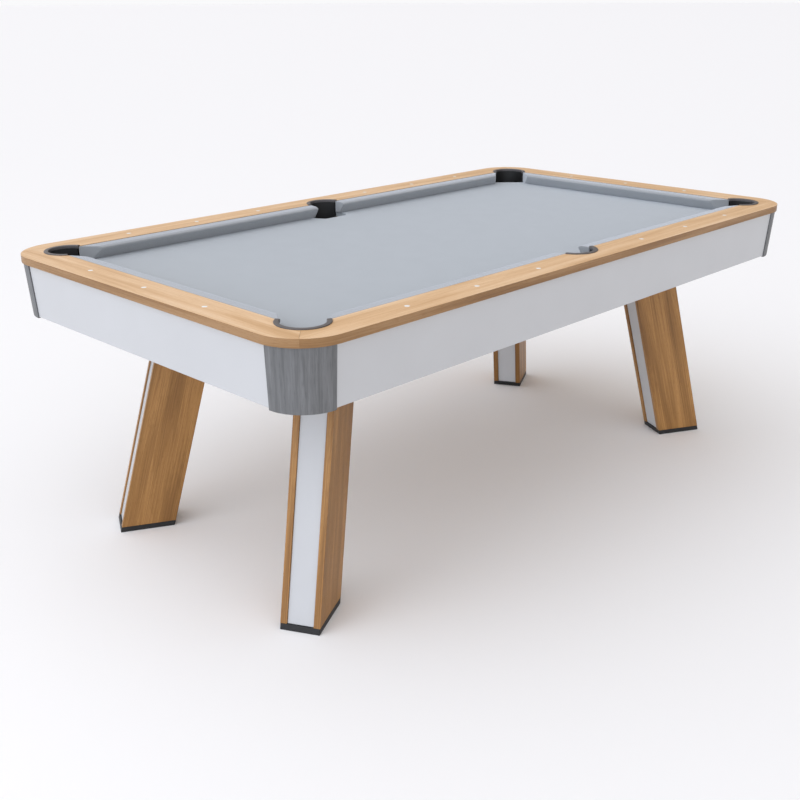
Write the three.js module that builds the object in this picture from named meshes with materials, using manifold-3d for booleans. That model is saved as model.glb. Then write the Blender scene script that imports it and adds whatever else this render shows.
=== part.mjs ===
// A 7 ft pool table: an oak-edged top frame with cloth-covered cushions and six
// moulded drop pockets, a white cabinet with grey corner pieces, and four raked
// legs on levelling feet. Millimetres, +Z up, origin on the floor below the middle
// of the table, +X along the long side, +Y across it.
import * as THREE from 'three';
import { mergeVertices } from 'three/addons/utils/BufferGeometryUtils.js';
import Module from 'manifold-3d';

// ---------- driving dimensions ----------
const LENGTH = 2130;
const WIDTH = 1195;
const HEIGHT = 800; // floor to the top of the rails
const JOINT_GAP = 0.3; // between pieces that are glued or screwed together

const RAIL = { width: 92, thickness: 20, cornerRadius: 120, blockInset: 31, blockEnd: 178 };
const BED = { top: 762, cloth: 1, thickness: 18, inset: 31, cornerRadius: 90 };
const CUSHION = {
  reach: 40, topDrop: 2, noseHeight: 8, undercut: 18,
  cornerEnd: 166, // its back edge's end, from the table's corner
  middleEnd: 53, // its back edge's end, from the middle of the side
  cornerSkew: 1.3, middleSkew: 0.06, // run of the cut ends for each unit of reach
};

// A pocket is a circle: 'in' is the distance of its centre from the table's outer
// edges, 'bedEdge' how far past the centre the bed begins again, and 'wallAngle'
// how far its wall runs either side of the outward direction.
const CORNER_POCKET = { in: 120, radius: 61, bedEdge: 22, wallAngle: 102 };
const MIDDLE_POCKET = { in: 108, radius: 64, bedEdge: 48, wallAngle: 72 };
const LINER = { wall: 10, rimTop: 801, cupTop: 742.5, cupBottom: 652, cupWall: 4, taper: 6 };

const APRON = { bottom: 635, topInset: 10, bottomInset: 20, thickness: 18, topSeam: 112, bottomSeam: 116 };
const CORNER = { proud: 3, topRadius: 104, bottomRadius: 98, drop: 3 };
const BEAM = { thickness: 18, bottom: 660, endInset: 37, places: [-460, -110, 110, 460] };

const LEG = {
  footX: 849, footY: 360, // middle of the foot on the floor
  turn: 28, // degrees between the leg's width and the table's length
  rake: 0.262, // inward run for each unit of height
  width: 152, depth: 102, board: 17, recess: 4,
};
const BLOCK = { bottom: 655, length: 70 };
const FOOT = { capHeight: 15, padRadius: 22, padHeight: 8, studRadius: 5, studTop: 60, clearance: 1.5 };

const HALF_LENGTH = LENGTH / 2;
const HALF_WIDTH = WIDTH / 2;
const RAIL_UNDERSIDE = HEIGHT - RAIL.thickness;
const BED_BOARD_TOP = BED.top - BED.cloth;
const BED_BOARD_BOTTOM = BED_BOARD_TOP - BED.thickness;
const UNDER_BED = BED_BOARD_BOTTOM - JOINT_GAP;
const ROUNDNESS = 5; // half the number of flats on each arc of an outline

const radians = THREE.MathUtils.degToRad;
const wasm = await Module();
wasm.setup();

// ---------- materials ----------
function finish(color, roughness, metalness = 0) {
  return () => new THREE.MeshStandardMaterial({ color, roughness, metalness });
}
const oakLaminate = finish(0xd9b48c, 0.45);
const oakBoard = finish(0xa8743f, 0.5);
const whiteLaminate = finish(0xd3d5dc, 0.35);
const greyLaminate = finish(0x767678, 0.5);
const cloth = finish(0xb8bec8, 0.95);
const blackMoulding = finish(0x1c1c1e, 0.55);
const fibreboard = finish(0x9a7b58, 0.85);
const zincSteel = finish(0xb4b6b8, 0.35, 1);

// ---------- solids ----------
const table = new THREE.Group();

function add(name, geometry, material, parent = table) {
  const mesh = new THREE.Mesh(geometry, material());
  mesh.name = name;
  parent.add(mesh);
  return mesh;
}

// Straight prism of an outline in the XY plane, from one height to another.
function prism(shape, bottom, top) {
  const options = { depth: top - bottom, bevelEnabled: false, curveSegments: ROUNDNESS };
  return new THREE.ExtrudeGeometry(shape, options).translate(0, 0, bottom);
}

// An arc in two halves, so that it is smooth enough to fit round a pocket.
function addArc(path, x, y, radius, from, to) {
  const middle = (from + to) / 2;
  path.absarc(x, y, radius, from, middle, to < from);
  path.absarc(x, y, radius, middle, to, to < from);
}

function upright(radius, bottom, top, sides = 16) {
  const cylinder = new THREE.CylinderGeometry(radius, radius, top - bottom, sides);
  return cylinder.rotateX(Math.PI / 2).translate(0, 0, (bottom + top) / 2);
}

// Closed solid through rings of equally many points. flatten gives a ring's two
// coordinates in the order that turns the right way round the direction of travel.
function loft(rings, flatten) {
  const clockwise = THREE.ShapeUtils.isClockWise(rings[0].map(flatten));
  const turned = clockwise ? rings.map((ring) => [...ring].reverse()) : rings;
  const count = turned[0].length;
  const last = (turned.length - 1) * count;
  const faces = [];
  for (let start = 0; start < last; start += count) {
    for (let i = 0; i < count; i++) {
      const a = start + i;
      const b = start + (i + 1) % count;
      faces.push(a, b, b + count, a, b + count, a + count);
    }
  }
  for (const [a, b, c] of THREE.ShapeUtils.triangulateShape(turned[0].map(flatten), [])) {
    faces.push(a, c, b, last + a, last + b, last + c);
  }
  const geometry = new THREE.BufferGeometry();
  geometry.setAttribute('position', new THREE.Float32BufferAttribute(turned.flat(2), 3));
  geometry.setIndex(faces);
  return geometry;
}
const fromAbove = ([x, y]) => new THREE.Vector2(x, y);
const fromEnd = ([, y, z]) => new THREE.Vector2(y, z);
const fromSide = ([x, , z]) => new THREE.Vector2(z, x);

function solid(geometry) {
  const bare = geometry.clone();
  bare.deleteAttribute('normal');
  bare.deleteAttribute('uv');
  const merged = mergeVertices(bare, 1e-4);
  const vertProperties = new Float32Array(merged.attributes.position.array);
  const triVerts = new Uint32Array(merged.index.array);
  return new wasm.Manifold(new wasm.Mesh({ numProp: 3, vertProperties, triVerts }));
}

function surface(manifold) {
  const mesh = manifold.getMesh();
  const geometry = new THREE.BufferGeometry();
  geometry.setAttribute('position', new THREE.BufferAttribute(new Float32Array(mesh.vertProperties), 3));
  geometry.setIndex(new THREE.BufferAttribute(new Uint32Array(mesh.triVerts), 1));
  return geometry;
}

const joined = (first, ...rest) => surface(rest.reduce((sum, next) => sum.add(solid(next)), solid(first)));
const cut = (body, ...tools) =>
  surface(tools.reduce((left, tool) => left.subtract(solid(tool)), solid(body)));

// The four corners of the table, with the signs of their X and Y.
const CORNERS = [
  { name: 'front_left', x: -1, y: -1 },
  { name: 'front_right', x: 1, y: -1 },
  { name: 'back_left', x: -1, y: 1 },
  { name: 'back_right', x: 1, y: 1 },
];

// The four sides. Each is drawn along X with its outer edge at +Y, then turned.
const SIDES = [
  { name: 'back', turn: 0, half: HALF_LENGTH, across: HALF_WIDTH, middlePocket: true },
  { name: 'left', turn: 90, half: HALF_WIDTH, across: HALF_LENGTH, middlePocket: false },
  { name: 'front', turn: 180, half: HALF_LENGTH, across: HALF_WIDTH, middlePocket: true },
  { name: 'right', turn: 270, half: HALF_WIDTH, across: HALF_LENGTH, middlePocket: false },
];

// ---------- rails: a flat oak-laminate board on a block that carries the cushions ----------
function biteAngle(pocket) {
  return Math.asin((pocket.in - RAIL.width) / (pocket.radius + JOINT_GAP));
}

function railBoard({ half, across, middlePocket }) {
  const shape = new THREE.Shape();
  const corner = { x: half - RAIL.cornerRadius, y: across - RAIL.cornerRadius };
  const pocket = { x: half - CORNER_POCKET.in, y: across - CORNER_POCKET.in };
  const bite = CORNER_POCKET.radius + JOINT_GAP;
  const outerMitre = JOINT_GAP / 2 / RAIL.cornerRadius;
  const innerMitre = JOINT_GAP / 2 / bite;
  const end = biteAngle(CORNER_POCKET);
  shape.absarc(-corner.x, corner.y, RAIL.cornerRadius, radians(135) - outerMitre, radians(90), true);
  shape.absarc(corner.x, corner.y, RAIL.cornerRadius, radians(90), radians(45) + outerMitre, true);
  addArc(shape, pocket.x, pocket.y, bite, radians(45) + innerMitre, Math.PI - end);
  if (middlePocket) addMiddleBite(shape, across);
  addArc(shape, -pocket.x, pocket.y, bite, end, radians(135) - innerMitre);
  shape.closePath();
  return prism(shape, RAIL_UNDERSIDE, HEIGHT);
}

function addMiddleBite(shape, across) {
  const end = biteAngle(MIDDLE_POCKET);
  const bite = MIDDLE_POCKET.radius + JOINT_GAP;
  addArc(shape, 0, across - MIDDLE_POCKET.in, bite, end, Math.PI - end);
}

function railBlock({ half, across, middlePocket }) {
  const shape = new THREE.Shape();
  const end = half - RAIL.blockEnd;
  shape.moveTo(-end, across - RAIL.blockInset);
  shape.lineTo(end, across - RAIL.blockInset);
  shape.lineTo(end, across - RAIL.width);
  if (middlePocket) addMiddleBite(shape, across);
  shape.lineTo(-end, across - RAIL.width);
  shape.closePath();
  return prism(shape, BED.top + JOINT_GAP, RAIL_UNDERSIDE + 1);
}

for (const side of SIDES) {
  const rail = add(`rail_${side.name}`, joined(railBoard(side), railBlock(side)), oakLaminate);
  rail.rotation.z = radians(side.turn);
}

// ---------- cushions: rubber strips under cloth, cut to the pockets' angles ----------
const CUSHION_BACK = RAIL.width + JOINT_GAP;
const CUSHION_NOSE = RAIL.width + CUSHION.reach;

// Section through a cushion, as distance in from the outer edge and height.
function cushionSection() {
  const noseTop = HEIGHT - CUSHION.topDrop;
  return [
    [CUSHION_BACK, HEIGHT - JOINT_GAP],
    [CUSHION_NOSE - 6, noseTop],
    [CUSHION_NOSE, noseTop - 3],
    [CUSHION_NOSE, noseTop - CUSHION.noseHeight],
    [CUSHION_NOSE - CUSHION.undercut, BED.top + JOINT_GAP],
    [CUSHION_BACK, BED.top + JOINT_GAP],
  ];
}

const cornerEnd = (inset) => CUSHION.cornerEnd + CUSHION.cornerSkew * (inset - CUSHION_BACK);
const middleEnd = (inset) => CUSHION.middleEnd + CUSHION.middleSkew * (inset - CUSHION_BACK);

function cushion(across, startAt, endAt) {
  const ring = (place) => cushionSection().map(([inset, z]) => [place(inset), across - inset, z]);
  return loft([ring(startAt), ring(endAt)], fromEnd);
}

for (const { name, turn, half, across, middlePocket } of SIDES) {
  const group = new THREE.Group();
  group.rotation.z = radians(turn);
  table.add(group);
  const low = (inset) => cornerEnd(inset) - half;
  const high = (inset) => half - cornerEnd(inset);
  if (middlePocket) {
    const lowName = name === 'back' ? 'left' : 'right';
    const highName = name === 'back' ? 'right' : 'left';
    add(`cushion_${name}_${lowName}`, cushion(across, low, (inset) => -middleEnd(inset)), cloth, group);
    add(`cushion_${name}_${highName}`, cushion(across, middleEnd, high), cloth, group);
  } else {
    add(`cushion_${name}`, cushion(across, low, high), cloth, group);
  }
}

// ---------- bed: fibreboard with the pocket openings, and the cloth stretched on it ----------
const POCKETS = [
  ...CORNERS.map(({ name, x, y }) => ({
    name,
    kind: CORNER_POCKET,
    x: x * (HALF_LENGTH - CORNER_POCKET.in),
    y: y * (HALF_WIDTH - CORNER_POCKET.in),
    outward: Math.atan2(y, x),
  })),
  ...[-1, 1].map((y) => ({
    name: y < 0 ? 'front_middle' : 'back_middle',
    kind: MIDDLE_POCKET,
    x: 0,
    y: y * (HALF_WIDTH - MIDDLE_POCKET.in),
    outward: Math.atan2(y, 0),
  })),
];

function bedShape() {
  const x = HALF_LENGTH - BED.inset - BED.cornerRadius;
  const y = HALF_WIDTH - BED.inset - BED.cornerRadius;
  const shape = new THREE.Shape();
  shape.absarc(x, y, BED.cornerRadius, 0, radians(90), false);
  shape.absarc(-x, y, BED.cornerRadius, radians(90), radians(180), false);
  shape.absarc(-x, -y, BED.cornerRadius, radians(180), radians(270), false);
  shape.absarc(x, -y, BED.cornerRadius, radians(270), radians(360), false);
  shape.closePath();
  for (const { kind, x: holeX, y: holeY, outward } of POCKETS) {
    const radius = kind.radius + 0.5;
    const half = Math.acos(-kind.bedEdge / radius);
    const hole = new THREE.Path();
    addArc(hole, holeX, holeY, radius, outward - half, outward + half);
    hole.closePath();
    shape.holes.push(hole);
  }
  return shape;
}
add('bed_board', prism(bedShape(), BED_BOARD_BOTTOM, BED_BOARD_TOP - JOINT_GAP), fibreboard);
add('bed_cloth', prism(bedShape(), BED_BOARD_TOP, BED.top), cloth);

// ---------- pockets: a black moulding, an open-fronted wall on a cup ----------
// Drawn round the origin with its back towards +Y.
function band(outer, inner, halfAngle) {
  const shape = new THREE.Shape();
  const from = radians(90 - halfAngle);
  const to = radians(90 + halfAngle);
  addArc(shape, 0, 0, outer, from, to);
  addArc(shape, 0, 0, inner, to, from);
  shape.closePath();
  return shape;
}

function pocketCup(radius) {
  const outer = radius - 1;
  const inner = outer - LINER.cupWall;
  const profile = [
    [0, LINER.cupBottom],
    [outer - LINER.taper, LINER.cupBottom],
    [outer, LINER.cupTop],
    [inner, LINER.cupTop],
    [inner - LINER.taper, LINER.cupBottom + LINER.cupWall],
    [0, LINER.cupBottom + LINER.cupWall],
  ];
  const points = profile.map(([r, z]) => new THREE.Vector2(r, z));
  return new THREE.LatheGeometry(points, 4 * ROUNDNESS + 4).rotateX(Math.PI / 2);
}

function pocketMoulding(kind) {
  const wall = band(kind.radius, kind.radius - LINER.wall, kind.wallAngle);
  return joined(pocketCup(kind.radius), prism(wall, LINER.cupTop - 4, LINER.rimTop));
}

for (const { name, kind, x, y, outward } of POCKETS) {
  const pocket = add(`pocket_${name}`, pocketMoulding(kind), blackMoulding);
  pocket.position.set(x, y, 0);
  pocket.rotation.z = outward - Math.PI / 2;
}

// ---------- cabinet: four canted aprons between conical corner pieces ----------
const SIDE_TOP = RAIL_UNDERSIDE - JOINT_GAP;

function apron({ half, across }) {
  const ring = (seam, inset, z) => {
    const end = half - seam - JOINT_GAP;
    const outer = across - inset;
    const inner = outer - APRON.thickness;
    return [[-end, outer, z], [end, outer, z], [end, inner, z], [-end, inner, z]];
  };
  const bottom = ring(APRON.bottomSeam, APRON.bottomInset, APRON.bottom);
  const top = ring(APRON.topSeam, APRON.topInset, SIDE_TOP);
  return loft([bottom, top], fromAbove);
}

for (const side of SIDES) {
  add(`apron_${side.name}`, apron(side), whiteLaminate).rotation.z = radians(side.turn);
}

// Drawn with the table's corner at the origin and the piece towards -X and -Y.
function cornerPiece() {
  const steps = 2 * ROUNDNESS;
  const thickness = APRON.thickness + CORNER.proud;
  const ring = (seam, apronInset, radius, z) => {
    const inset = apronInset - CORNER.proud;
    const centre = -inset - radius;
    const arc = (r) => Array.from({ length: steps + 1 }, (_, i) => {
      const angle = radians(90) * (1 - i / steps);
      return [centre + r * Math.cos(angle), centre + r * Math.sin(angle), z];
    });
    return [
      [-seam, -inset, z], ...arc(radius), [-inset, -seam, z],
      [-inset - thickness, -seam, z], ...arc(radius - thickness).reverse(), [-seam, -inset - thickness, z],
    ];
  };
  const bottom = ring(APRON.bottomSeam, APRON.bottomInset, CORNER.bottomRadius, APRON.bottom - CORNER.drop);
  const top = ring(APRON.topSeam, APRON.topInset, CORNER.topRadius, SIDE_TOP);
  return loft([bottom, top], fromAbove);
}

for (const { name, x, y } of CORNERS) {
  const piece = add(`corner_piece_${name}`, cornerPiece(), greyLaminate);
  piece.position.set(x * HALF_LENGTH, y * HALF_WIDTH, 0);
  piece.rotation.z = Math.atan2(y, x) - radians(45);
}

const beamNames = ['outer_left', 'inner_left', 'inner_right', 'outer_right'];
BEAM.places.forEach((x, i) => {
  const size = [BEAM.thickness, WIDTH - 2 * BEAM.endInset, UNDER_BED - BEAM.bottom];
  const beam = add(`cross_beam_${beamNames[i]}`, new THREE.BoxGeometry(...size), fibreboard);
  beam.position.set(x, 0, (UNDER_BED + BEAM.bottom) / 2);
});

// ---------- legs: two oak side boards on a white core, raked along their width ----------
// Drawn with the middle of the foot at the origin and outwards along +X.
function raked(x0, x1, y0, y1, bottom, top) {
  const ring = (z) => {
    const run = -LEG.rake * z;
    return [[x0 + run, y0, z], [x1 + run, y0, z], [x1 + run, y1, z], [x0 + run, y1, z]];
  };
  return loft([ring(bottom), ring(top)], fromAbove);
}

const LEG_BOTTOM = FOOT.capHeight + JOINT_GAP;
const HALF_LEG = LEG.width / 2;
const HALF_CORE = LEG.depth / 2 - LEG.board - JOINT_GAP;
const STUD_HOLE = FOOT.studRadius + FOOT.clearance;

function legBoard(side) {
  const edges = [side * LEG.depth / 2, side * (LEG.depth / 2 - LEG.board)].sort((a, b) => a - b);
  return raked(-HALF_LEG, HALF_LEG, ...edges, LEG_BOTTOM, UNDER_BED);
}

function legCore() {
  const half = HALF_LEG - LEG.recess;
  const core = raked(-half, half, -HALF_CORE, HALF_CORE, LEG_BOTTOM, UNDER_BED);
  return cut(core, upright(STUD_HOLE, LEG_BOTTOM - 1, FOOT.studTop + 5));
}

function footCap() {
  const cap = raked(-HALF_LEG, HALF_LEG, -LEG.depth / 2, LEG.depth / 2, 0, FOOT.capHeight);
  const recess = upright(FOOT.padRadius + FOOT.clearance, -1, FOOT.padHeight + 1, 24);
  return cut(cap, recess, upright(STUD_HOLE, 0, FOOT.capHeight + 1));
}

// The block beside the top of the leg's inner edge, screwed up into the bed.
function legBlock() {
  const face = (z) => -HALF_LEG - JOINT_GAP - LEG.rake * z;
  const back = face(UNDER_BED) - BLOCK.length;
  const ring = (y) => [
    [face(BLOCK.bottom), y, BLOCK.bottom],
    [face(UNDER_BED), y, UNDER_BED],
    [back, y, UNDER_BED],
    [back, y, BLOCK.bottom],
  ];
  return loft([ring(-LEG.depth / 2), ring(LEG.depth / 2)], fromSide);
}

for (const { name, x, y } of CORNERS) {
  const leg = new THREE.Group();
  leg.position.set(x * LEG.footX, y * LEG.footY, 0);
  leg.rotation.z = Math.atan2(y * Math.sin(radians(LEG.turn)), x * Math.cos(radians(LEG.turn)));
  table.add(leg);
  add(`leg_${name}_outer_board`, legBoard(x * y), oakBoard, leg);
  add(`leg_${name}_inner_board`, legBoard(-x * y), oakBoard, leg);
  add(`leg_${name}_core`, legCore(), whiteLaminate, leg);
  add(`leg_block_${name}`, legBlock(), fibreboard, leg);
  add(`foot_cap_${name}`, footCap(), blackMoulding, leg);
  add(`foot_pad_${name}`, upright(FOOT.padRadius, 0, FOOT.padHeight, 24), blackMoulding, leg);
  const stud = upright(FOOT.studRadius, FOOT.padHeight + JOINT_GAP, FOOT.studTop, 12);
  add(`foot_stud_${name}`, stud, zincSteel, leg);
}

export default table;
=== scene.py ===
import math

import bmesh
import bpy
import numpy as np
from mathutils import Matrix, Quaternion, Vector
from mathutils.geometry import tessellate_polygon


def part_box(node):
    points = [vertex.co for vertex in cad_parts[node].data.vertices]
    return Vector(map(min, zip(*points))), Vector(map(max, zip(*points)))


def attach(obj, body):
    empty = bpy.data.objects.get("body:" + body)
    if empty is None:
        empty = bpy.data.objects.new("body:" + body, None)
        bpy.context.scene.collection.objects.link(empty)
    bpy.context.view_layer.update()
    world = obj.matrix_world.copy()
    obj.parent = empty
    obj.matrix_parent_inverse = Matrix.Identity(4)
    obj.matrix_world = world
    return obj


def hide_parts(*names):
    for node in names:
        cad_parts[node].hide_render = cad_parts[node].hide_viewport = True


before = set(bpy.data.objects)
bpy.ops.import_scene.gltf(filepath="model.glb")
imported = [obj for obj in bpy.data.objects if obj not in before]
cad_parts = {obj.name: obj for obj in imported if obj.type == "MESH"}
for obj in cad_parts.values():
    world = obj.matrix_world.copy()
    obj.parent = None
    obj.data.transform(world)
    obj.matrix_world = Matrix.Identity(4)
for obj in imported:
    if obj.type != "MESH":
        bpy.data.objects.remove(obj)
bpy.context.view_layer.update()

# ---------- studio: camera, floor and light ----------
# A white painted floor in a white surround that is brighter towards the table's left
# end and a little warmer away from it, so that the sides facing right are in soft
# shade, and one large lamp over the left end.
scene = bpy.context.scene
scene.view_settings.view_transform = "Standard"

camera = bpy.data.objects.new("camera", bpy.data.cameras.new("camera"))
scene.collection.objects.link(camera)
camera_place = Vector((-2.3185, -2.0808, 1.4295))
camera_aim = Vector((-0.7969, -0.5785, 0.6894))
camera_roll = Quaternion((0, 0, 1), math.radians(-0.2253))
camera.location = camera_place
camera.rotation_mode = "QUATERNION"
camera.rotation_quaternion = (camera_aim - camera_place).to_track_quat("-Z", "Y") @ camera_roll
camera.data.sensor_width = 36
camera.data.lens = 47.553
camera.data.shift_x = 0.0151
camera.data.shift_y = -0.0424
scene.camera = camera


def linear(code):
    """sRGB hex colour as linear red, green and blue, with a full alpha."""
    parts = [int(code[i:i + 2], 16) / 255 for i in (1, 3, 5)]
    return [c / 12.92 if c <= 0.04045 else ((c + 0.055) / 1.055) ** 2.4 for c in parts] + [1]


def add_node(tree, kind, settings=None, links=None):
    """Adds a node with its properties, and its inputs by name or number; a socket is linked."""
    made = tree.nodes.new(kind)
    for key, value in (settings or {}).items():
        setattr(made, key, value)
    for key, value in (links or {}).items():
        if isinstance(value, bpy.types.NodeSocket):
            tree.links.new(value, made.inputs[key])
        else:
            made.inputs[key].default_value = value
    return made


def new_material(name, links):
    """Material with one Principled shader, whose inputs are set or linked once the tree is given."""
    made = bpy.data.materials.new(name)
    made.use_nodes = True
    made.node_tree.nodes.clear()
    shader = add_node(made.node_tree, "ShaderNodeBsdfPrincipled", links=links(made.node_tree))
    add_node(made.node_tree, "ShaderNodeOutputMaterial", links={"Surface": shader.outputs[0]})
    return made


world = bpy.data.worlds.new("studio")
scene.world = world
world.use_nodes = True
world.node_tree.nodes.clear()
towards_left = add_node(world.node_tree, "ShaderNodeVectorMath", {"operation": "DOT_PRODUCT"}, {
    0: add_node(world.node_tree, "ShaderNodeTexCoord").outputs["Object"], 1: (-1, 0, 0)})
leftness = add_node(world.node_tree, "ShaderNodeMapRange", links={
    "Value": towards_left.outputs["Value"], "From Min": -1}).outputs[0]
dim_end, bright_end = 0.25, 1.95
surround = add_node(world.node_tree, "ShaderNodeMapRange", links={
    "Value": leftness, "To Min": dim_end, "To Max": bright_end})
tint = add_node(world.node_tree, "ShaderNodeMix", {"data_type": "RGBA"}, {
    0: leftness, 6: linear("#fff4ea"), 7: linear("#ecf3ff")})
lighting = add_node(world.node_tree, "ShaderNodeBackground", links={
    "Color": tint.outputs[2], "Strength": surround.outputs[0]})
backdrop = add_node(world.node_tree, "ShaderNodeBackground", links={
    "Color": linear("#fafafb"), "Strength": 1.0})
shown = add_node(world.node_tree, "ShaderNodeMixShader", links={
    0: add_node(world.node_tree, "ShaderNodeLightPath").outputs["Is Camera Ray"],
    1: lighting.outputs[0], 2: backdrop.outputs[0]})
add_node(world.node_tree, "ShaderNodeOutputWorld", links={"Surface": shown.outputs[0]})

floor_half = 400
floor = bpy.data.objects.new("floor", bpy.data.meshes.new("floor"))
floor_corners = [(x * floor_half, y * floor_half, 0) for x, y in ((-1, -1), (1, -1), (1, 1), (-1, 1))]
floor.data.from_pydata(floor_corners, [], [(0, 1, 2, 3)])
floor.data.materials.append(new_material("floor_paint", lambda tree: {
    "Base Color": linear("#fafafa"), "Roughness": 0.8}))
scene.collection.objects.link(floor)

lamp_place, lamp_aim = Vector((-4.2, 0.6, 3.6)), Vector((0, 0, 0.6))
end_lamp = bpy.data.objects.new("end_lamp", bpy.data.lights.new("end_lamp", "AREA"))
end_lamp.data.size = 2.6
end_lamp.data.energy = 20
end_lamp.location = lamp_place
end_lamp.rotation_mode = "QUATERNION"
end_lamp.rotation_quaternion = (lamp_aim - lamp_place).to_track_quat("-Z", "Y")
scene.collection.objects.link(end_lamp)

# ---------- carcass: fibreboard bed, its four cross beams and the leg blocks ----------
# Bare medium-density fibreboard, sawn to size and screwed together. It is a matt
# fawn felt of wood fibres, with darker flecks and no grain direction.
half_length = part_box("rail_right")[1].x
half_width, rail_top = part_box("rail_back")[1].yz


def fibreboard_links(tree):
    """Fawn with a soft mottle of 40 mm, flecks of 2 mm and a felted bump."""
    place = add_node(tree, "ShaderNodeTexCoord").outputs["Object"]
    mottle = add_node(tree, "ShaderNodeTexNoise", links={"Vector": place, "Scale": 25, "Detail": 3})
    fleck = add_node(tree, "ShaderNodeTexNoise", links={"Vector": place, "Scale": 520, "Detail": 4})
    share = add_node(tree, "ShaderNodeMath", {"operation": "MULTIPLY_ADD"}, {
        0: fleck.outputs[0], 1: 0.6, 2: mottle.outputs[0]})
    ramp = add_node(tree, "ShaderNodeValToRGB", links={0: share.outputs[0]})
    ramp.color_ramp.elements[0].position, ramp.color_ramp.elements[1].position = 0.55, 1.05
    ramp.color_ramp.elements[0].color = linear("#8a6a47")
    ramp.color_ramp.elements[1].color = linear("#b3936a")
    bump = add_node(tree, "ShaderNodeBump", links={
        "Strength": 0.25, "Distance": 0.0004, "Height": fleck.outputs[0]})
    return {"Base Color": ramp.outputs[0], "Roughness": 0.85, "Normal": bump.outputs[0]}


fibreboard = new_material("sawn_fibreboard", fibreboard_links)
for name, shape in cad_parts.items():
    if name == "bed_board" or name.startswith(("cross_beam", "leg_block")):
        shape.data.materials.clear()
        shape.data.materials.append(fibreboard)

# ---------- aprons: four canted boards that close the cabinet ----------
# Chipboard faced with white melamine, leaning in towards the bottom, with the edges
# eased by hand. Melamine is hard and a little glossy over a very fine orange peel.
apron_thickness, apron_ease = 0.018, 0.001
apron_inset, apron_lean = 0.010, 0.010
apron_seams = {"low": 0.1163, "high": 0.1123}


def inset(outline, depth):
    """Outline drawn in by depth: each point moves along the sum of its two sides' inward
    normals, divided by one plus their dot product, so that the sides stay parallel."""
    ahead = np.roll(outline, -1, 0) - outline
    ahead /= np.linalg.norm(ahead, axis=1)[:, None]
    normal = np.column_stack([-ahead[:, 1], ahead[:, 0]])
    before = np.roll(normal, 1, 0)
    alike = np.maximum(1 + (normal * before).sum(1), 0.3)[:, None]
    return outline + depth * (normal + before) / alike


def eased_ends(ease, steps=4):
    """How far in, and how far along, each ring of a rounded end lies: a quarter circle."""
    turn = np.linspace(0, math.pi / 2, steps + 1)
    return ease * (1 - np.sin(turn)), ease * (1 - np.cos(turn))


def counterclockwise(outline):
    """The outline as an array, turned round if its shoelace area is negative."""
    outline = np.array(outline, float)
    x, y = outline.T
    area = (x * np.roll(y, -1) - np.roll(x, -1) * y).sum()
    return outline if area > 0 else outline[::-1]


def skin(rings, grain="along", capped=True, start=(0, 0), flat=(1, 0)):
    """Surface through closed rings of equally many points, each joined to the next by
    four-sided faces, and two end caps. Its UV map is in metres: V runs with the grain,
    along the rings' travel or round them, and the caps are laid flat. The map begins at
    start, so that like boards show different stretches of the print."""
    rows, count = rings.shape[:2]
    i, j = np.arange(count), np.arange(rows - 1)[:, None] * count
    after = (i + 1) % count
    quads = np.stack([j + i, j + after, j + after + count, j + i + count], -1).reshape(-1, 4)
    sides = np.linalg.norm(np.roll(rings[rows // 2], -1, 0) - rings[rows // 2], axis=1)
    around = np.concatenate([[0], sides.cumsum()])
    steps = np.linalg.norm(rings[1:] - rings[:-1], axis=2).mean(1)
    along = np.concatenate([[0], steps.cumsum()])
    u = np.stack([around[:-1], around[1:], around[1:], around[:-1]], -1)
    u = np.broadcast_to(u, (rows - 1, count, 4))
    v = np.stack([along[:-1], along[:-1], along[1:], along[1:]], -1)
    v = np.broadcast_to(v[:, None], (rows - 1, count, 4))
    uv = np.stack([u, v] if grain == "along" else [v, u], -1).reshape(-1, 2)
    faces = quads.tolist()
    if capped:
        faces += [list(range(count))[::-1], list(range((rows - 1) * count, rows * count))]
        uv = np.concatenate([uv, rings[0][::-1][:, flat], rings[-1][:, flat]])
    return rings.reshape(-1, 3), faces, uv + np.array(start)


def together(surfaces):
    """Several surfaces as one: their points in a row, each one's faces counted on."""
    points, faces, uv = [], [], []
    for part, corners, flat in surfaces:
        start = sum(map(len, points))
        faces += [[start + i for i in face] for face in corners]
        points.append(part)
        uv.append(flat)
    return np.concatenate(points), faces, np.concatenate(uv)


def eased_prism(low, high, z_low, z_high, ease, **kinds):
    """Upright solid from one outline to another, both of equally many points. A height's
    outline lies between them in proportion, and near each end it is drawn in by a
    quarter circle, so that the end's edges are round."""
    low, high = counterclockwise(low), counterclockwise(high)
    drawn_in, risen = eased_ends(ease)
    z = np.concatenate([z_low + risen, z_high - risen[::-1]])
    depth = np.concatenate([drawn_in, drawn_in[::-1]])
    share = (z - z_low) / (z_high - z_low)
    rings = [np.column_stack([inset(low + (high - low) * s, d), np.full(len(low), h)])
             for s, d, h in zip(share, depth, z)]
    return skin(np.array(rings), **kinds)


def rounded(corners, radius, steps=4):
    """Outline with each corner replaced by an arc that touches both of its sides: points
    turned evenly from one touching point to the other about the arc's centre."""
    corners = np.array(corners, float)
    radius = np.broadcast_to(np.array(radius, float), len(corners))[:, None]
    back, on = np.roll(corners, 1, 0) - corners, np.roll(corners, -1, 0) - corners
    back /= np.linalg.norm(back, axis=1)[:, None]
    on /= np.linalg.norm(on, axis=1)[:, None]
    half = np.arccos(np.clip((back * on).sum(1), -1, 1))[:, None] / 2
    middle = (back + on) / np.linalg.norm(back + on, axis=1)[:, None]
    centre = corners + middle * radius / np.sin(half)
    first, last = corners + back * radius / np.tan(half), corners + on * radius / np.tan(half)
    swing = (math.pi - 2 * half)[:, None]
    share = np.linspace(0, 1, steps + 1)[None, :, None]
    swept = (np.sin((1 - share) * swing) * (first - centre)[:, None]
             + np.sin(share * swing) * (last - centre)[:, None]) / np.sin(swing)
    return (centre[:, None] + swept).reshape(-1, 2)


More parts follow.
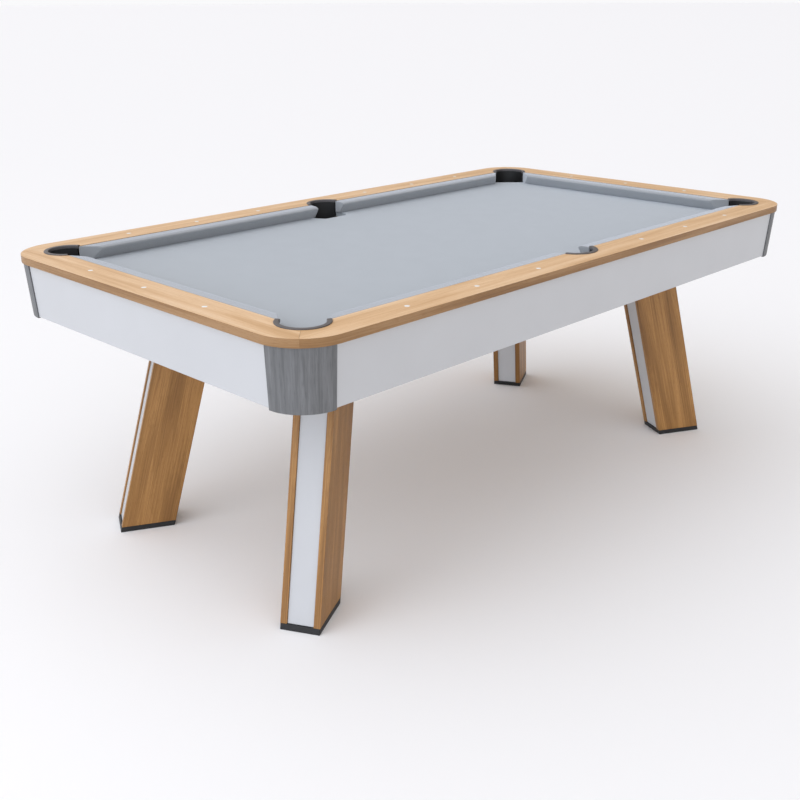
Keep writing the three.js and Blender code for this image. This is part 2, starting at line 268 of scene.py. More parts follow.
def turned(surface, angle, place=(0, 0, 0)):
    """A surface whose points are turned about the upright axis by an angle in radians,
    then moved."""
    points, *faces_and_uv = surface
    c, s = math.cos(angle), math.sin(angle)
    return points @ np.array([[c, s, 0], [-s, c, 0], [0, 0, 1]]) + np.array(place), *faces_and_uv


def new_piece(name, surface, materials, body="table", side_material=0, weighted=True):
    """Mesh object from points, faces and a UV map, with merged doubles, faces turned
    outwards, smooth shading and face-weighted normals. The four-sided faces take the
    side material. It rides on its body."""
    points, faces, uv = surface
    mesh = bpy.data.meshes.new(name)
    mesh.from_pydata(np.asarray(points).tolist(), [], faces)
    mesh.uv_layers.new(name="grain").data.foreach_set("uv", np.asarray(uv, np.float32).ravel())
    mesh.polygons.foreach_set("material_index", [
        side_material if len(face) == 4 else 0 for face in faces])
    shell = bmesh.new()
    shell.from_mesh(mesh)
    bmesh.ops.remove_doubles(shell, verts=shell.verts, dist=1e-6)
    bmesh.ops.recalc_face_normals(shell, faces=shell.faces)
    shell.to_mesh(mesh)
    shell.free()
    mesh.shade_smooth()
    mesh.set_sharp_from_angle(angle=math.radians(50))
    for finish in materials:
        mesh.materials.append(finish)
    piece = bpy.data.objects.new(name, mesh)
    scene.collection.objects.link(piece)
    if weighted:
        piece.modifiers.new("even_normals", "WEIGHTED_NORMAL").keep_sharp = True
    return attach(piece, body)


def white_melamine_links(tree):
    """Cool white, an orange peel of 2 mm in bump and gloss, and a faint cloudiness."""
    place = add_node(tree, "ShaderNodeTexCoord").outputs["Object"]
    cloud = add_node(tree, "ShaderNodeTexNoise", links={"Vector": place, "Scale": 7, "Detail": 2})
    peel = add_node(tree, "ShaderNodeTexNoise", links={"Vector": place, "Scale": 480, "Detail": 2})
    tint = add_node(tree, "ShaderNodeMix", {"data_type": "RGBA"}, {
        0: cloud.outputs[0], 6: linear("#bbbcbe"), 7: linear("#c1c2c4")})
    gloss = add_node(tree, "ShaderNodeMapRange", links={
        "Value": peel.outputs[0], "To Min": 0.3, "To Max": 0.42})
    bump = add_node(tree, "ShaderNodeBump", links={
        "Strength": 0.12, "Distance": 0.0002, "Height": peel.outputs[0]})
    return {"Base Color": tint.outputs[2], "Roughness": gloss.outputs[0], "Normal": bump.outputs[0]}


white_melamine = new_material("white_melamine", white_melamine_links)

SIDES = {"back": 0, "left": 90, "front": 180, "right": 270}


def side_reach(side):
    """Half of a side's length, and how far its outer edge is from the middle of the table."""
    return (half_length, half_width) if side in ("back", "front") else (half_width, half_length)


for side, angle in SIDES.items():
    low_corner, high_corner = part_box("apron_" + side)
    half, across = side_reach(side)
    top_across = across - apron_inset
    outlines = []
    for seam, outer in ((apron_seams["low"], top_across - apron_lean), (apron_seams["high"], top_across)):
        end, inner = half - seam, outer - apron_thickness
        outlines.append(rounded([(end, inner), (end, outer), (-end, outer), (-end, inner)], apron_ease))
    solid = eased_prism(*outlines, low_corner.z, high_corner.z, apron_ease)
    board = new_piece("apron_board_" + side, turned(solid, math.radians(angle)), [white_melamine])
    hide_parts("apron_" + side)

# ---------- corner pieces: grey driftwood laminate bent round the cabinet's corners ----------
# Formed plywood under a printed paper laminate, cone-shaped because the aprons lean in.
# The print is a weathered grey wood with upright streaks and fine dark pores.
corner_proud, corner_top_radius, corner_low_radius = 0.003, 0.104, 0.098
corner_thickness, corner_ease = apron_thickness + corner_proud, 0.0008
joint = 0.0003


def stretched(tree, grain, width, length, detail, warp):
    """Noise whose spots are this wide across the grain and this long along it, in metres."""
    scaled = add_node(tree, "ShaderNodeMapping", links={
        "Vector": grain, "Scale": (1 / width, 1 / length, 1)})
    return add_node(tree, "ShaderNodeTexNoise", {"noise_dimensions": "2D"}, {
        "Vector": scaled.outputs[0], "Scale": 1, "Detail": detail, "Distortion": warp}).outputs[0]


def with_pores(tree, wood, pore, fine, threshold, darkness, depth, roughness):
    """A print's shader inputs: where the fine noise passes the threshold, a pore is darker
    and duller than the wood around it, and pressed in."""
    pores = add_node(tree, "ShaderNodeMapRange", links={
        "Value": fine, "From Min": threshold, "From Max": threshold + 0.16, "To Max": darkness})
    colour = add_node(tree, "ShaderNodeMix", {"data_type": "RGBA"}, {
        0: pores.outputs[0], 6: wood, 7: linear(pore)})
    bump = add_node(tree, "ShaderNodeBump", {"invert": True}, {
        "Strength": depth, "Distance": 0.0003, "Height": pores.outputs[0]})
    gloss = add_node(tree, "ShaderNodeMapRange", links={
        "Value": pores.outputs[0], "To Min": roughness, "To Max": roughness + 0.25})
    return {"Base Color": colour.outputs[2], "Roughness": gloss.outputs[0], "Normal": bump.outputs[0]}


def driftwood_links(tree):
    """Grey print along V: broad soft streaks 11 mm wide, narrow ones, and pores of 1.1 mm,
    which are wider than real ones, so that they show."""
    grain = add_node(tree, "ShaderNodeUVMap", {"uv_map": "grain"}).outputs[0]
    broad = stretched(tree, grain, 0.011, 0.154, 2, 0.15)
    narrow = stretched(tree, grain, 0.011 / 3, 0.099, 2, 0.15)
    fine = stretched(tree, grain, 0.0011, 0.03, 2, 0.15)
    share = add_node(tree, "ShaderNodeMath", {"operation": "MULTIPLY_ADD"}, {0: narrow, 1: 0.45, 2: broad})
    spread = add_node(tree, "ShaderNodeMapRange", links={
        "Value": share.outputs[0], "From Min": 0.45, "From Max": 1.0})
    wood = add_node(tree, "ShaderNodeMix", {"data_type": "RGBA"}, {
        0: spread.outputs[0], 6: linear("#595a5b"), 7: linear("#727375")})
    return with_pores(tree, wood.outputs[2], "#505152", fine, 0.56, 0.55, 0.2, 0.45)


driftwood = new_material("driftwood_laminate", driftwood_links)

CORNERS = {"front_left": (-1, -1), "front_right": (1, -1), "back_left": (-1, 1), "back_right": (1, 1)}


def corner_outline(seam, apron_line, radius):
    """The table's corner is at the origin: out to one seam, round the corner's arc, and
    back round a smaller arc about the same centre."""
    outer = apron_line - corner_proud
    centre = -outer - radius
    sweep = np.radians(np.linspace(90, 0, 33))
    ring = np.column_stack([np.cos(sweep), np.sin(sweep)])
    inner = ring[::-1] * (radius - corner_thickness) + centre
    return np.concatenate([[(-seam, -outer)], ring * radius + centre, [(-outer, -seam)],
                           [(-outer - corner_thickness, -seam)], inner, [(-seam, -outer - corner_thickness)]])


for corner, (x, y) in CORNERS.items():
    low_corner, high_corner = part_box("corner_piece_" + corner)
    solid = eased_prism(
        corner_outline(apron_seams["low"] - joint, apron_inset + apron_lean, corner_low_radius),
        corner_outline(apron_seams["high"] - joint, apron_inset, corner_top_radius),
        low_corner.z, high_corner.z, corner_ease, start=(x * 0.7, y * 0.3))
    angle = math.atan2(y, x) - math.pi / 4
    place = (x * half_length, y * half_width, 0)
    piece = new_piece("corner_casing_" + corner, turned(solid, angle, place), [driftwood])
    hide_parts("corner_piece_" + corner)

# ---------- bed cloth: one sheet stretched over the bed and down into the pockets ----------
# Worsted cloth of wool and nylon, glued over the board's edges at the pockets. It is
# matt with a short nap that lightens towards grazing light, and a plain tight weave.
bed_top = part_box("bed_cloth")[1].z
cloth_thickness, cloth_fold, cloth_hem, hole_clearance = 0.001, 0.0016, 0.016, 0.0005
corner_in, corner_radius, corner_edge = 0.120, 0.061, 0.022
middle_in, middle_radius, middle_edge = 0.108, 0.064, 0.048
pockets = {name: (math.atan2(y, x), x * (half_length - corner_in), y * (half_width - corner_in),
                  corner_radius, corner_edge) for name, (x, y) in CORNERS.items()}
for name, y in (("front_middle", -1), ("back_middle", 1)):
    pockets[name] = (math.atan2(y, 0), 0, y * (half_width - middle_in), middle_radius, middle_edge)


def arc(x, y, radius, start, end, steps):
    """Points on a circle's arc, angles in radians."""
    sweep = np.linspace(start, end, steps + 1)
    return np.column_stack([x + radius * np.cos(sweep), y + radius * np.sin(sweep)])


def hem(outward, x, y, radius, bed_edge):
    """The cloth's edge at a pocket, as rings round the hole, which is an arc about the
    pocket's centre closed by a straight edge. They lead from the bed round a quarter
    circle of the fold's radius, then straight down, a cloth's thickness off the board."""
    half = math.acos(-bed_edge / (radius + hole_clearance))
    hole = arc(x, y, radius + hole_clearance, outward - half, outward + half, 60)
    turn = np.linspace(0, math.pi / 2, 7)
    off_board = cloth_thickness - np.append(cloth_fold * (1 - np.sin(turn)), 0)
    drop = np.append(cloth_fold * (1 - np.cos(turn)), cloth_hem)
    return np.array([np.column_stack([inset(hole, b), np.full(len(hole), bed_top - d)])
                     for b, d in zip(off_board, drop)])


def worsted_links(tree, coordinate, light, dark, thread, nap_shine):
    """Grey cloth: warp and weft as two crossed waves, a nap of short fibres, and a soft
    mottle of 60 mm where the nap lies differently. The threads are drawn about three
    times as far apart as real ones, so that they show."""
    place = add_node(tree, "ShaderNodeTexCoord").outputs[coordinate]
    wave_scale = 2 * math.pi / 20 / thread
    waves = [add_node(tree, "ShaderNodeTexWave", {"bands_direction": axis}, {
        "Vector": place, "Scale": wave_scale, "Distortion": 0.6, "Detail": 1}).outputs["Fac"]
        for axis in "XY"]
    weave = add_node(tree, "ShaderNodeMath", {"operation": "MULTIPLY"}, {0: waves[0], 1: waves[1]})
    nap = add_node(tree, "ShaderNodeTexNoise", links={"Vector": place, "Scale": 700, "Detail": 4})
    lie = add_node(tree, "ShaderNodeTexNoise", links={"Vector": place, "Scale": 16, "Detail": 3})
    height = add_node(tree, "ShaderNodeMath", {"operation": "MULTIPLY_ADD"}, {
        0: nap.outputs[0], 1: 1.2, 2: weave.outputs[0]})
    share = add_node(tree, "ShaderNodeMath", {"operation": "MULTIPLY_ADD"}, {
        0: height.outputs[0], 1: 0.35, 2: lie.outputs[0]})
    spread = add_node(tree, "ShaderNodeMapRange", links={
        "Value": share.outputs[0], "From Min": 0.2, "From Max": 1.4})
    colour = add_node(tree, "ShaderNodeMix", {"data_type": "RGBA"}, {
        0: spread.outputs[0], 6: linear(dark), 7: linear(light)})
    bump = add_node(tree, "ShaderNodeBump", links={
        "Strength": 0.35, "Distance": 0.0003, "Height": height.outputs[0]})
    return {"Base Color": colour.outputs[2], "Roughness": 0.95, "Normal": bump.outputs[0],
            "Sheen Weight": nap_shine, "Sheen Roughness": 0.5, "Sheen Tint": linear("#e4ebf4")}


bed_worsted = new_material("bed_worsted", lambda tree: worsted_links(
    tree, "Object", "#aeb4b9", "#a7adb2", 0.0016, 0.3))

board_inset, board_radius, cloth_left = 0.031, 0.090, 0.965
board_corners = [(x * (half_length - board_inset), y * (half_width - board_inset))
                 for x, y in ((1, 1), (-1, 1), (-1, -1), (1, -1))]
hems = [hem(*pocket) for pocket in pockets.values()]
loops = [rounded(board_corners, board_radius, 12)] + [rings[0, :, :2] for rings in hems]
flat_points = [[Vector((*p, bed_top)) for p in loop] for loop in loops]
cloth_points = np.concatenate([np.column_stack([loop, np.full(len(loop), bed_top)]) for loop in loops])
cloth_faces = [list(face) for face in tessellate_polygon(flat_points)]
flat_sheet = (cloth_points, cloth_faces, np.concatenate([cloth_points[face, :2] for face in cloth_faces]))
bed_sheet = new_piece("bed_sheet", together([flat_sheet] + [skin(rings, capped=False) for rings in hems]),
                      [bed_worsted], weighted=False)
backing = bed_sheet.modifiers.new("thickness", "SOLIDIFY")
backing.thickness, backing.offset = cloth_thickness, -1
bed_sheet.modifiers.new("even_normals", "WEIGHTED_NORMAL").keep_sharp = True
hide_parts("bed_cloth")

# ---------- rails: oak-laminate boards, mitred at the corners, on their cushion blocks ----------
# Medium-density board with a printed oak laminate, its grain along each rail. A darker
# oak edge strip is ironed round the outside, and its colours are darkened further as
# painted shade for the rails' upright sides. The blocks under it are bare fibreboard.
rail_width, rail_thickness, rail_corner = 0.092, 0.020, 0.120
rail_ease, mitre_gap = 0.0003, 0.0001
block_end, block_inset, block_ease = 0.178, 0.031, 0.0005


def oak_links(tree, light, middle, dark, roughness, figure=0.030):
    """Oak print along V: broad figure from a noise stretched along the grain, growth
    lines from bands bent by it, streaks 3 mm wide, and short dark pores of 1.2 mm, which
    are wider than real ones, so that they show."""
    grain = add_node(tree, "ShaderNodeUVMap", {"uv_map": "grain"}).outputs[0]
    broad = stretched(tree, grain, figure, figure * 16, 2, 0.3)
    streaks = stretched(tree, grain, 0.003, 0.3, 3, 0.2)
    fine = stretched(tree, grain, 0.0012, 0.02, 2, 0.0)
    rings = add_node(tree, "ShaderNodeMath", {"operation": "MULTIPLY"}, {0: broad, 1: 90})
    lines = add_node(tree, "ShaderNodeMath", {"operation": "SINE"}, {0: rings.outputs[0]})
    mixed = add_node(tree, "ShaderNodeMath", {"operation": "MULTIPLY_ADD"}, {
        0: lines.outputs[0], 1: 0.03, 2: broad})
    share = add_node(tree, "ShaderNodeMath", {"operation": "MULTIPLY_ADD"}, {
        0: streaks, 1: 0.6, 2: mixed.outputs[0]})
    ramp = add_node(tree, "ShaderNodeValToRGB", links={0: share.outputs[0]})
    ramp.color_ramp.elements[0].position, ramp.color_ramp.elements[1].position = 0.5, 1.1
    ramp.color_ramp.elements[0].color, ramp.color_ramp.elements[1].color = linear(dark), linear(light)
    ramp.color_ramp.elements.new(0.8).color = linear(middle)
    return with_pores(tree, ramp.outputs[0], dark, fine, 0.58, 0.5, 0.25, roughness)


oak_top = new_material("oak_laminate_top", lambda tree: oak_links(
    tree, "#ebc9a2", "#e0b98c", "#cda373", 0.42))
# Painted shade: the edge strip is darker than the top partly for its own oak and partly to stand in for the
# shade on the rails' upright sides.
shaded_oak_edge = new_material("oak_edge_strip_and_shade", lambda tree: oak_links(
    tree, "#9c7850", "#8f6a40", "#7a552e", 0.45))


def bite_end(pocket_in, radius):
    """Angle at which a pocket's arc meets the rail's inner edge."""
    return math.asin((pocket_in - rail_width) / (radius + joint))


def bite(x, across, pocket_in, radius, start, end):
    """The arc that a pocket cuts out of a rail."""
    return arc(x, across - pocket_in, radius + joint, start, end, 40)


def middle_bite(across):
    """The arc that a middle pocket cuts out of a long rail, from +X to -X."""
    end = bite_end(middle_in, middle_radius)
    return bite(0, across, middle_in, middle_radius, end, math.pi - end)


def rail_outline(half, across, middle):
    """Round the outer corners' arcs between the mitres, then back along the inner edge by
    way of the pockets' arcs."""
    mitre = math.pi / 4
    outer_gap, inner_gap = mitre_gap / 2 / rail_corner, mitre_gap / 2 / corner_radius
    end = bite_end(corner_in, corner_radius)
    corner_x, corner_y = half - rail_corner, across - rail_corner
    parts = [
        arc(-corner_x, corner_y, rail_corner, 3 * mitre - outer_gap, 2 * mitre, 24),
        arc(corner_x, corner_y, rail_corner, 2 * mitre, mitre + outer_gap, 24),
        bite(half - corner_in, across, corner_in, corner_radius, mitre + inner_gap, math.pi - end),
        *([middle_bite(across)] if middle else []),
        bite(corner_in - half, across, corner_in, corner_radius, end, 3 * mitre - inner_gap),
    ]
    return np.concatenate(parts)


for number, (side, angle) in enumerate(SIDES.items()):
    half, across = side_reach(side)
    middle = half == half_length
    outline = rail_outline(half, across, middle)
    solid = eased_prism(outline, outline, rail_top - rail_thickness, rail_top, rail_ease,
                        grain="round", start=(0.31 * number, 0.9 * number))
    board = new_piece("rail_board_" + side, turned(solid, math.radians(angle)),
                      [oak_top, shaded_oak_edge], side_material=1)
    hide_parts("rail_" + side)
    reach, inner, outer = half - block_end, across - rail_width, across - block_inset
    block = [(reach, outer), (-reach, outer), (-reach, inner)]
    block += (middle_bite(across)[::-1].tolist() if middle else []) + [(reach, inner)]
    solid = eased_prism(block, block, bed_top + joint, rail_top - rail_thickness - joint, block_ease)
    block = new_piece("cushion_block_" + side, turned(solid, math.radians(angle)), [fibreboard])
    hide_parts("rail_" + side)

# ---------- sights: white dots let into the rails ----------
# Turned discs of white plastic, pressed into drilled holes and left a hair proud with a
# slight dome. There are three between one pocket and the next.
sight_radius, sight_proud, sight_depth = 0.0065, 0.0004, 0.002
sight_across, sight_spacing = rail_width / 2, 0.2365


def lathe(profile, sides, place=(0, 0, 0)):
    """Profile of radius and height, carried once round the upright axis; a radius of zero
    closes it in a pole."""
    radius, height = np.array(profile, float).T
    sweep = np.linspace(0, 2 * math.pi, sides, endpoint=False)
    rings = np.stack([radius[:, None] * np.cos(sweep), radius[:, None] * np.sin(sweep),
                      np.broadcast_to(height[:, None], (len(radius), sides))], -1)
    points, faces, uv = skin(rings, capped=False)
    return points + np.array(place), faces, uv


white_plastic = new_material("white_plastic", lambda tree: {
    "Base Color": linear("#f4f4f2"), "Roughness": 0.3, "IOR": 1.49, "Coat Weight": 0.3})
rise = np.linspace(0, math.pi / 2, 5)
sight_profile = [(0, rail_top - sight_depth), (sight_radius, rail_top - sight_depth)]
sight_profile += [(sight_radius * math.cos(t), rail_top + sight_proud * math.sin(t)) for t in rise[:-1]]
sight_profile += [(0, rail_top + sight_proud)]
for side, angle in SIDES.items():
    half, across = side_reach(side)
    places = (-3, -2, -1, 1, 2, 3) if half == half_length else (-1, 0, 1)
    dots = together([lathe(sight_profile, 24, (i * sight_spacing, across - sight_across, 0))
                     for i in places])
    dots = new_piece("sights_" + side, turned(dots, math.radians(angle)), [white_plastic])

# ---------- cushions: rubber strips with the cloth wrapped round and stapled behind ----------
# Vulcanised rubber of the usual wedge section, glued to the block, under the same
# worsted cloth pulled tight, so it shows a round nose, a hollow underside and no folds.
# The cloth's colours are darker than the bed's, as painted shade for the cushions' faces.
cushion_reach, cushion_top_drop, cushion_nose = 0.040, 0.002, 0.008
cushion_undercut, cushion_ease = 0.018, 0.003
shoulder, shoulder_drop, nose_lean = 0.010, 0.0035, 0.0004
corner_start, corner_skew = 0.166, 1.3
middle_start, middle_skew = 0.053, 0.06
# Painted shade: the same worsted as the bed's, in darker colours that stand in for the shade on the cushions'
# faces.
shaded_cushion_worsted = new_material("shaded_cushion_worsted", lambda tree: worsted_links(
    tree, "UV", "#94979a", "#8c8f92", 0.0016, 0.9))

cushion_back, cushion_front = rail_width + joint, rail_width + cushion_reach
nose_top, cushion_foot = rail_top - cushion_top_drop, bed_top + joint
section = counterclockwise(rounded([
    (cushion_back, rail_top - joint),
    (cushion_front - shoulder, nose_top),
    (cushion_front, nose_top - shoulder_drop),
    (cushion_front - nose_lean, nose_top - cushion_nose),
    (cushion_front - cushion_undercut, cushion_foot),
    (cushion_back, cushion_foot),
], [0.0031, 0.014, 0.0038, 0.0045, 0.0031, 0.0031], 8))


def corner_end(depth):
    """Distance from the table's edge to the cushion's end at a corner, at a depth in."""
    return corner_start + corner_skew * (depth - cushion_back)


def middle_end(depth):
    """Distance from the middle of the table to the cushion's end at a middle pocket."""
    return middle_start + middle_skew * (depth - cushion_back)


def cushion(across, first, last):
    """The section carried from one skewed end to the other, drawn in by a quarter circle
    at each end so that the cloth folds round it softly."""
    drawn_in, risen = eased_ends(cushion_ease)
    rings = []
    for depth, rise, place in [(d, r, first) for d, r in zip(drawn_in, risen)] + [
            (d, -r, last) for d, r in zip(drawn_in[::-1], risen[::-1])]:
        ring = inset(section, depth)
        rings.append(np.column_stack([place(ring[:, 0]) + rise, across - ring[:, 0], ring[:, 1]]))
    return skin(np.array(rings), flat=(1, 2))


for side, angle in SIDES.items():
    half, across = side_reach(side)
    low_end, high_end = (lambda d: corner_end(d) - half), (lambda d: half - corner_end(d))
    if half == half_length:
        names = ("left", "right") if side == "back" else ("right", "left")
        made = {f"{side}_{names[0]}": (low_end, lambda d: -middle_end(d)),
                f"{side}_{names[1]}": (middle_end, high_end)}
    else:
        made = {side: (low_end, high_end)}
    for name, ends in made.items():
        solid = cushion(across, *ends)
        piece = new_piece("cloth_cushion_" + name, turned(solid, math.radians(angle)), [shaded_cushion_worsted])
        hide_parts("cushion_" + name)

# ---------- pockets: black mouldings with a rolled rim and a drop cup ----------
# Injection-moulded ABS, spark-eroded to a dull grain: a wall open to the bed and a cup
# under it that holds the balls. A smoother rim caps the wall, coloured dark grey as
# painted sheen, lighter than the black wall where its top faces up to the light.
rim_inner, rim_lap, rim_proud, rim_depth = 0.0108, 0.001, 0.0025, 0.006
rim_gap, lap_gap, rim_ease = 0.0005, 0.0002, 0.0006
wall_thickness, wall_gap, wall_drop, wall_ease = 0.009, 0.001, 0.003, 0.001
cup_top, cup_low, cup_wall, cup_taper, cup_lap = 0.7425, 0.652, 0.004, 0.006, 0.004
wall_angles = {"corner": (102, 105), "middle": (72, 74)}


def moulding_links(tree, dark, light, roughness):
    """Plastic with a cloudy tint and a grain of 1 mm in bump and gloss, which is coarser
    than the real one, so that it shows."""
    place = add_node(tree, "ShaderNodeTexCoord").outputs["Object"]
    grain = add_node(tree, "ShaderNodeTexNoise", links={"Vector": place, "Scale": 900, "Detail": 2})
    scuff = add_node(tree, "ShaderNodeTexNoise", links={"Vector": place, "Scale": 60, "Detail": 4})
    tint = add_node(tree, "ShaderNodeMix", {"data_type": "RGBA"}, {
        0: scuff.outputs[0], 6: linear(dark), 7: linear(light)})
    gloss = add_node(tree, "ShaderNodeMapRange", links={
        "Value": grain.outputs[0], "To Min": roughness - 0.1, "To Max": roughness + 0.14})
    bump = add_node(tree, "ShaderNodeBump", links={
        "Strength": 0.2, "Distance": 0.0003, "Height": grain.outputs[0]})
    return {"Base Color": tint.outputs[2], "Roughness": gloss.outputs[0], "Normal": bump.outputs[0]}


black_abs = new_material("black_abs", lambda tree: moulding_links(tree, "#101011", "#1b1b1c", 0.5))
# Painted sheen: the rim's grey stands in for the light caught on its upturned top.
rim_painted_sheen = new_material("rim_painted_sheen", lambda tree: moulding_links(tree, "#4f4c4d", "#5b5859", 0.34))


def carried_round(profile, radius, half_angle, ease, steps=72):
    """A profile of radius and height carried round an arc either side of +Y, with its two
    ends rounded by a quarter circle no larger than the profile's own outer corners."""
    drawn_in, risen = eased_ends(ease)
    swing = math.radians(half_angle)
    angles = np.concatenate([risen / radius - swing, np.linspace(-swing, swing, steps + 2)[2:-2],
                             swing - risen[::-1] / radius]) + math.pi / 2
    depths = np.concatenate([drawn_in, np.zeros(steps - 2), drawn_in[::-1]])
    rings = []
    for angle, depth in zip(angles, depths):
        ring = inset(profile, depth)
        around = np.array([math.cos(angle), math.sin(angle)])
        rings.append(np.column_stack([ring[:, :1] * around, ring[:, 1]]))
    return skin(np.array(rings), flat=(0, 2))


for name, (outward, x, y, radius, _) in pockets.items():
    wall_angle, rim_angle = wall_angles["middle" if "middle" in name else "corner"]
    wall_outer, wall_top, wall_low = radius - wall_gap, rail_top - wall_drop, cup_top - cup_lap
    wall_inner = wall_outer - wall_thickness
    wall = counterclockwise(rounded([
        (wall_outer, wall_low), (wall_outer, wall_top), (wall_inner, wall_top), (wall_inner, wall_low),
    ], 0.0012))
    rim = counterclockwise(rounded([
        (radius - rim_inner, rail_top - rim_depth),
        (radius - rim_gap, rail_top - rim_depth),
        (radius - rim_gap, rail_top + lap_gap),
        (radius + rim_lap, rail_top + lap_gap),
        (radius + rim_lap, rail_top + rim_proud),
        (radius - rim_inner, rail_top + rim_proud),
    ], [0.0015, 0.0006, 0.0003, 0.0006, 0.0016, 0.0022]))
    cup_radius = wall_outer
    cup = lathe([
        (0, cup_low), (cup_radius - cup_taper - 0.004, cup_low), (cup_radius - cup_taper, cup_low + 0.004),
        (cup_radius, cup_top - 0.001), (cup_radius - 0.001, cup_top), (cup_radius - cup_wall, cup_top),
        (cup_radius - cup_wall - cup_taper, cup_low + cup_wall + 0.006),
        (cup_radius - cup_wall - cup_taper - 0.006, cup_low + cup_wall), (0, cup_low + cup_wall)], 64)
    for part, surface, finish in (
            ("moulding", together([carried_round(wall, radius, wall_angle, wall_ease), cup]), black_abs),
            ("rim", carried_round(rim, radius, rim_angle, rim_ease), rim_painted_sheen)):
        placed = turned(surface, outward - math.pi / 2, (x, y, 0))
        piece = new_piece(f"pocket_{part}_{name}", placed, [finish])
        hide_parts("pocket_" + name)

# ---------- legs: two oak side boards glued to a white core, raked inwards ----------
# Each leg is a box of laminated board: oak print with upright grain on the two sides and
# their edges, and a white melamine core set back between them.
leg_middle, leg_turn, leg_rake = (0.849, 0.360), math.radians(28), 0.262
leg_width, leg_depth, leg_board, leg_recess, leg_ease = 0.152, 0.102, 0.017, 0.004, 0.0008
leg_face, leg_board_back = leg_depth / 2, leg_depth / 2 - leg_board
oak_leg = new_material("oak_laminate_leg", lambda tree: oak_links(
    tree, "#ae7f46", "#966a34", "#785020", 0.42, 0.045))


def raked_box(width, y_low, y_high, z_low, z_high, ease, **kinds):
    """Upright box in the leg's own frame, whose outline slides in by the rake as it rises."""
    outlines = [rounded([(side * width / 2 - leg_rake * z, y) for side, y in (
        (1, y_low), (1, y_high), (-1, y_high), (-1, y_low))], ease) for z in (z_low, z_high)]
    return eased_prism(*outlines, z_low, z_high, ease, **kinds)


def leg_place(x, y):
    """A leg's turn about the upright axis, and the middle of its foot on the floor."""
    angle = math.atan2(y * math.sin(leg_turn), x * math.cos(leg_turn))
    return angle, (x * leg_middle[0], y * leg_middle[1], 0)


for number, (corner, (x, y)) in enumerate(CORNERS.items()):
    angle, place = leg_place(x, y)
    low_z, high_z = (c.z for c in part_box(f"leg_{corner}_core"))
    outer = sorted((x * y * leg_face, x * y * leg_board_back))
    inner = sorted((-x * y * leg_face, -x * y * leg_board_back))
    core_face = leg_board_back - joint
    parts = {
        "outer_board": (leg_width, outer, oak_leg, "oak_board"),
        "inner_board": (leg_width, inner, oak_leg, "oak_board"),
        "core": (leg_width - 2 * leg_recess, (-core_face, core_face), white_melamine, "white_laminate"),
    }
    for part, (width, (y_low, y_high), finish, slot_name) in parts.items():
        solid = raked_box(width, y_low, y_high, low_z, high_z, leg_ease,
                          start=(0.43 * number + (0.2 if part == "core" else 0), 0.61 * number))
        piece = new_piece(f"leg_{corner}_{part}_board", turned(solid, angle, place), [finish])
        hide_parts(f"leg_{corner}_{part}")

# ---------- feet: black end caps, and rubber pads on threaded studs ----------
# The cap is moulded ABS pushed over the leg's end, with a round recess for the pad. The
# pad is moulded rubber on an M10 zinc-plated stud, wound in or out to level the table.
cap_height, cap_ease = 0.015, 0.001
recess_radius, recess_height = 0.0235, 0.009
pad_radius, pad_height, stud_top = 0.022, 0.008, 0.060
thread_radius, thread_pitch, thread_depth = 0.005, 0.0015, 0.0009


def foot_cap():
    """Rings from the recess's ceiling, down its wall, out across the underside to the raked
    outline, up its sides and in over the top. A recess ring has the outline's directions."""
    drawn_in, risen = eased_ends(cap_ease)
    corners = rounded([(s * leg_width / 2, t * leg_depth / 2)
                       for s, t in ((1, -1), (1, 1), (-1, 1), (-1, -1))], 0.002, 6)
    outline = np.concatenate([np.linspace(a, b, 6, endpoint=False)
                              for a, b in zip(corners, np.roll(corners, -1, 0))])
    circle = outline / np.linalg.norm(outline, axis=1)[:, None] * recess_radius
    rings = [np.column_stack([circle * share, np.full(len(circle), z)]) for share, z in (
        (0.3, recess_height), (0.97, recess_height), (1, recess_height - 0.0008), (1, 0.0008), (1.03, 0))]
    heights = np.concatenate([risen, cap_height - risen[::-1]])
    for z, depth in zip(heights, np.concatenate([drawn_in, drawn_in[::-1]])):
        slid = inset(outline, depth) - np.array([leg_rake * z, 0])
        rings.append(np.column_stack([slid, np.full(len(outline), z)]))
    return skin(np.array(rings))


def threaded_stud(steps=8):
    """Rod whose radius falls and rises once for each pitch of height and each turn."""
    sweep = np.linspace(0, 2 * math.pi, 32, endpoint=False)
    height = np.arange(pad_height + joint, stud_top, thread_pitch / steps)[:, None]
    phase = (height / thread_pitch - sweep / (2 * math.pi)) % 1
    radius = thread_radius - thread_depth * np.abs(2 * phase - 1)
    rings = np.stack([radius * np.cos(sweep), radius * np.sin(sweep),
                      np.broadcast_to(height, radius.shape)], -1)
    return skin(rings)


def rubber_links(tree):
    """Black rubber with the fine grain of its mould in bump."""
    place = add_node(tree, "ShaderNodeTexCoord").outputs["Object"]
    grain = add_node(tree, "ShaderNodeTexNoise", links={"Vector": place, "Scale": 600})
    bump = add_node(tree, "ShaderNodeBump", links={
        "Strength": 0.3, "Distance": 0.0003, "Height": grain.outputs[0]})
    return {"Base Color": linear("#202022"), "Roughness": 0.7, "Normal": bump.outputs[0]}


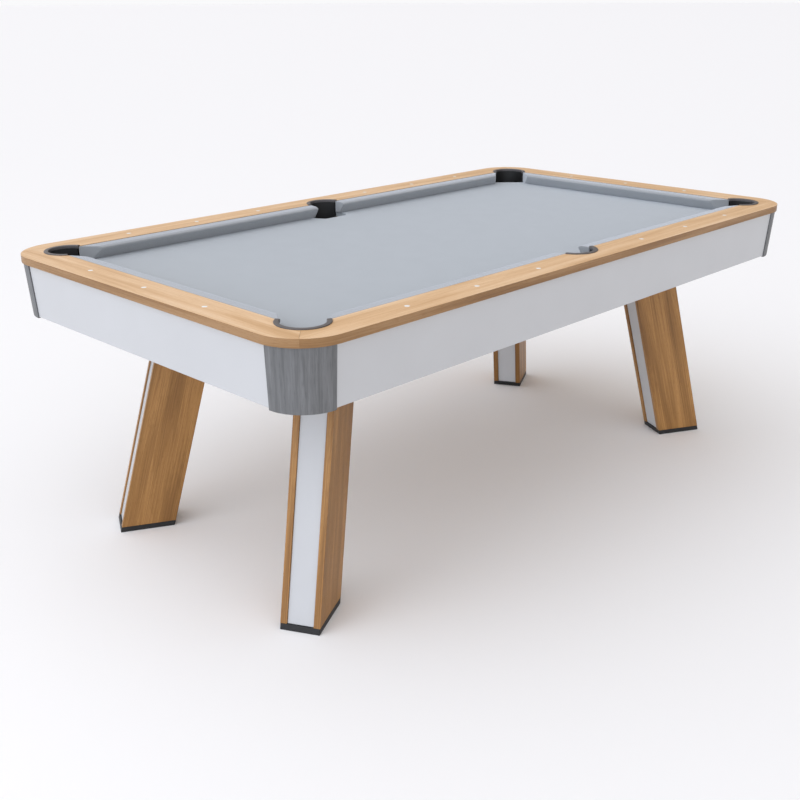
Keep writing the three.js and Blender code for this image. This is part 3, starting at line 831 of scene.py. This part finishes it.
def zinc_links(tree):
    """Bright grey plating, its gloss clouded over a few millimetres."""
    place = add_node(tree, "ShaderNodeTexCoord").outputs["Object"]
    cloud = add_node(tree, "ShaderNodeTexNoise", links={"Vector": place, "Scale": 300})
    gloss = add_node(tree, "ShaderNodeMapRange", links={
        "Value": cloud.outputs[0], "To Min": 0.25, "To Max": 0.45})
    return {"Base Color": linear("#c3c6c8"), "Metallic": 1.0, "Roughness": gloss.outputs[0]}


rubber = new_material("moulded_rubber", rubber_links)
zinc = new_material("zinc_plated_steel", zinc_links)
pad_profile = [
    (0, 0), (pad_radius - 0.0015, 0), (pad_radius - 0.0004, 0.0004), (pad_radius, 0.0015),
    (pad_radius, 0.005), (pad_radius - 0.001, 0.0062), (0.012, 0.0068), (0.0105, pad_height), (0, pad_height)]
for corner, (x, y) in CORNERS.items():
    angle, place = leg_place(x, y)
    for name, surface, finish, body, node_name, slot_name in (
            ("end_cap", foot_cap(), black_abs, "table", "foot_cap", "foot_plastic"),
            ("level_pad", lathe(pad_profile, 48), rubber, "foot_" + corner, "foot_pad", "foot_plastic"),
            ("level_stud", threaded_stud(), zinc, "stud_" + corner, "foot_stud", "zinc_steel")):
        piece = new_piece(f"{name}_{corner}", turned(surface, angle, place), [finish], body)
        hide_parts(f"{node_name}_{corner}")

# ---------- leg bolts: two up through each leg block into the bed ----------
# Zinc-plated hexagon bolts of 8 mm on flat washers. They pass up through the block that
# the leg is screwed to and hold it against the underside of the bed.
bolt_in, bolt_apart, bolt_across_flats, bolt_head, bolt_bevel = 0.306, 0.056, 0.013, 0.0053, 0.0008
washer_radius, washer_thickness = 0.008, 0.0016


def bolt_below(x, y, top):
    """Hexagonal head with a bevelled underside, on a round washer whose top is at top."""
    head_top = top - washer_thickness
    head_low = head_top - bolt_head
    point = bolt_across_flats / 2 / math.cos(math.pi / 6)
    head = lathe([(0, head_top), (point, head_top), (point, head_low + bolt_bevel),
                  (point - 1.5 * bolt_bevel, head_low), (0, head_low)], 6, (x, y, 0))
    washer = lathe([(0, head_top), (washer_radius, head_top), (washer_radius, top), (0, top)], 40, (x, y, 0))
    return together([head, washer])


for corner, (x, y) in CORNERS.items():
    angle, place = leg_place(x, y)
    block_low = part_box("leg_block_" + corner)[0].z
    pair = together([bolt_below(-bolt_in, side * bolt_apart / 2, block_low) for side in (-1, 1)])
    bolts = new_piece("leg_bolts_" + corner, turned(pair, angle, place), [zinc])
